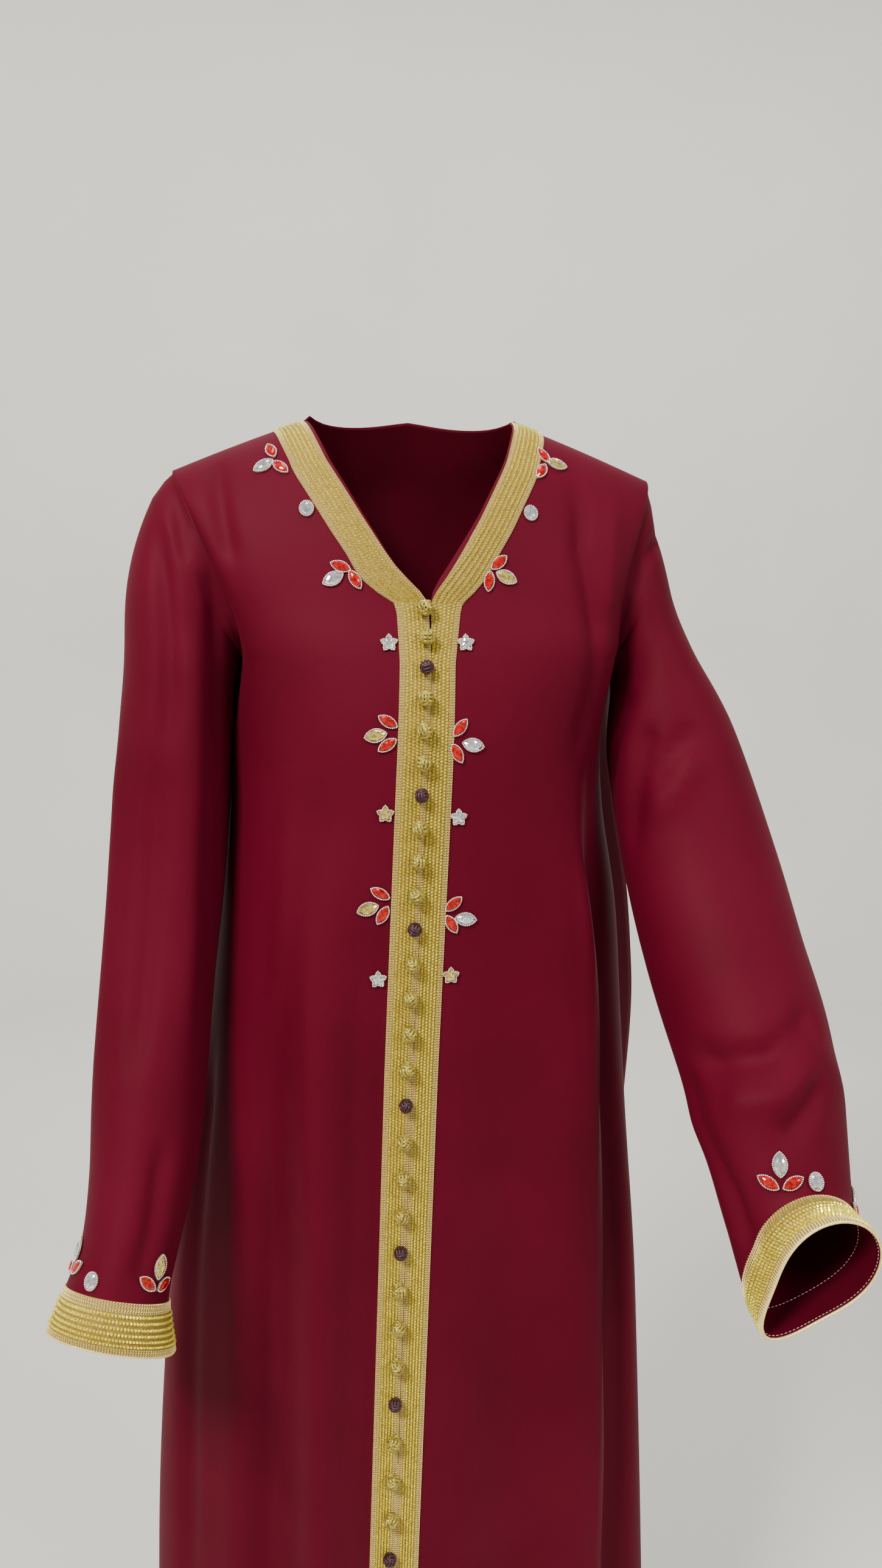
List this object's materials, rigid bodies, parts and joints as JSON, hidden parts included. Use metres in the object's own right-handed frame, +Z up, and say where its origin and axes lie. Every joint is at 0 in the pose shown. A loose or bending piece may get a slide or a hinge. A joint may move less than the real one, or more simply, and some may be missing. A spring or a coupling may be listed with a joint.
{
  "type": "moroccan kaftan",
  "caption": "Full-length hollow worn kaftan with a V neck, long set-in sleeves, gold braid down the front and round the cuffs, knot buttons and sewn-on stones.",
  "frame": {"origin": "between the wearer's shoulders, level with the top of the neck opening, where the shoulders carry the garment", "axes": "+Z up along the body, -Y out of the front, +X towards the wearer's left"},
  "size_m": [0.6216, 0.4418, 1.4341],
  "materials": {
    "crepe": "matt burgundy crepe",
    "gold_braid": "metallic gold thread braid",
    "gold_knot": "knotted gold cord",
    "dark_knot": "knotted burgundy cord",
    "stone": "faceted stones in beaded rims"
  },
  "bodies": {
    "root": {"back": "crepe", "button_01": "gold_knot", "button_02": "gold_knot", "button_03": "dark_knot", "button_04": "gold_knot", "button_05": "gold_knot", "button_06": "gold_knot", "button_07": "dark_knot", "button_08": "gold_knot", "button_09": "gold_knot", "button_10": "gold_knot", "button_11": "dark_knot", "button_12": "gold_knot", "button_13": "gold_knot", "button_14": "gold_knot", "button_15": "gold_knot", "button_16": "dark_knot", "button_17": "gold_knot", "button_18": "gold_knot", "button_19": "gold_knot", "button_20": "dark_knot", "button_21": "gold_knot", "button_22": "gold_knot", "button_23": "gold_knot", "button_24": "dark_knot", "button_25": "gold_knot", "button_26": "gold_knot", "button_27": "gold_knot", "button_28": "dark_knot", "cuff_leaf_left_3": "stone", "cuff_leaf_left_4": "stone", "cuff_leaf_right_1": "stone", "cuff_leaf_right_2": "stone", "cuff_oval_left_2": "stone", "cuff_oval_right_1": "stone", "cuff_sfifa_left": "gold_braid", "cuff_sfifa_right": "gold_braid", "front_left": "crepe", "front_right": "crepe", "leaf_left_2": "stone", "leaf_left_4": "stone", "leaf_left_6": "stone", "leaf_left_8": "stone", "leaf_right_1": "stone", "leaf_right_3": "stone", "leaf_right_5": "stone", "leaf_right_7": "stone", "oval_left_2": "stone", "oval_right_1": "stone", "sfifa_left": "gold_braid", "sfifa_right": "gold_braid", "sleeve_left": "crepe", "sleeve_right": "crepe", "star_left_2": "stone", "star_left_4": "stone", "star_left_6": "stone", "star_right_1": "stone", "star_right_3": "stone", "star_right_5": "stone"}
  },
  "joints": []
}
